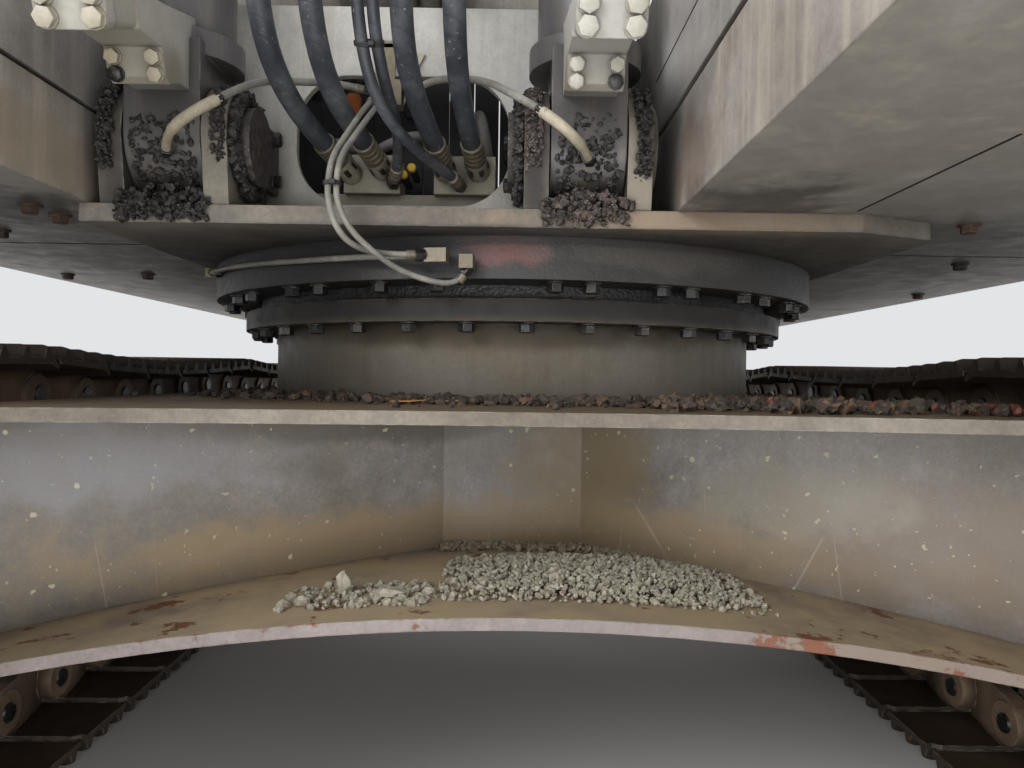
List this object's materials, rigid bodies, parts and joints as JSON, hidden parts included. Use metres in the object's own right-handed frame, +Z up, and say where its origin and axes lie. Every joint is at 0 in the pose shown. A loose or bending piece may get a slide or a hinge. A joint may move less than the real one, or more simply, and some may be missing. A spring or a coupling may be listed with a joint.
{
  "type": "crawler excavator undercarriage with revolving frame",
  "caption": "Crawler undercarriage with carbody, slewing ring and revolving frame, upright boom cylinders, side decks and hydraulic hoses.",
  "frame": {"origin": "on the ground under the slewing axis, midway between the tracks", "axes": "+X to the cab's side (machine's left), +Y to the rear, +Z up"},
  "size_m": [3.19, 4.9432, 3.5548],
  "materials": {
    "undercarriage_steel": "worn grey-beige paint with dust, scratches and rust",
    "track_steel": "dark worn steel with dry mud",
    "running_gear_iron": "dark cast iron with dust and polished treads",
    "greased_steel": "dark steel coated with old grease and grit",
    "frame_steel": "pale grey paint, dusty and stained",
    "deck_paint": "silver-grey paint with rust streaks",
    "block_metal": "whitish painted blocks with oily dust",
    "hose_rubber": "dusty blue-black spiral-wrapped rubber",
    "chrome_rod": "polished hard chrome"
  },
  "bodies": {
    "undercarriage": {"track_left": "track_steel", "track_right": "track_steel", "sprocket_left": "running_gear_iron", "sprocket_right": "running_gear_iron", "final_drive_left": "undercarriage_steel", "final_drive_right": "undercarriage_steel", "idler_left": "running_gear_iron", "idler_right": "running_gear_iron", "rollers_left": "running_gear_iron", "rollers_right": "running_gear_iron", "track_frame_left": "undercarriage_steel", "track_frame_right": "undercarriage_steel", "carbody_top_plate": "undercarriage_steel", "carbody_bottom_plate": "undercarriage_steel", "carbody_webs": "undercarriage_steel", "turret": "undercarriage_steel", "slew_inner_race": "greased_steel", "swivel_joint": "greased_steel"},
    "upper_frame": {"slew_outer_race": "greased_steel", "floor_plate": "frame_steel", "main_plate_left": "frame_steel", "main_plate_right": "frame_steel", "cylinder_ear_left": "greased_steel", "cylinder_ear_right": "greased_steel", "cylinder_pin_left": "greased_steel", "cylinder_pin_right": "greased_steel", "front_cross_plate": "frame_steel", "rear_cross_plate": "frame_steel", "tail_plate": "frame_steel", "cab_deck": "deck_paint", "cab_floor_pan": "deck_paint", "tool_deck": "deck_paint", "tool_box": "deck_paint", "tail_deck": "deck_paint", "outriggers": "frame_steel", "swing_drive": "frame_steel", "hose_manifold": "block_metal", "hose_bar": "frame_steel", "hose_1": "hose_rubber", "hose_2": "hose_rubber", "hose_3": "hose_rubber", "hose_4": "hose_rubber"},
    "boom_cylinder_left": {"cylinder_barrel_left": "greased_steel", "valve_block_left": "block_metal"},
    "boom_rod_left": {"cylinder_rod_left": "chrome_rod"},
    "boom_cylinder_right": {"cylinder_barrel_right": "greased_steel", "valve_block_right": "block_metal"},
    "boom_rod_right": {"cylinder_rod_right": "chrome_rod"}
  },
  "joints": [
    {"name": "swing", "type": "hinge", "parent": "undercarriage", "child": "upper_frame", "pos_m": [0, 0, 1.131], "axis": [0, 0, 1], "continuous": true},
    {"name": "boom_cylinder_left_pivot", "type": "hinge", "parent": "upper_frame", "child": "boom_cylinder_left", "pos_m": [0.127, -0.8, 1.335], "axis": [1, 0, 0], "range_deg": [-4, 60]},
    {"name": "boom_rod_left_slide", "type": "slide", "parent": "boom_cylinder_left", "child": "boom_rod_left", "axis": [0, 0, 1], "range_m": [0, 1.45]},
    {"name": "boom_cylinder_right_pivot", "type": "hinge", "parent": "upper_frame", "child": "boom_cylinder_right", "pos_m": [-0.638, -0.8, 1.335], "axis": [1, 0, 0], "range_deg": [-4, 60]},
    {"name": "boom_rod_right_slide", "type": "slide", "parent": "boom_cylinder_right", "child": "boom_rod_right", "axis": [0, 0, 1], "range_m": [0, 1.45]}
  ]
}
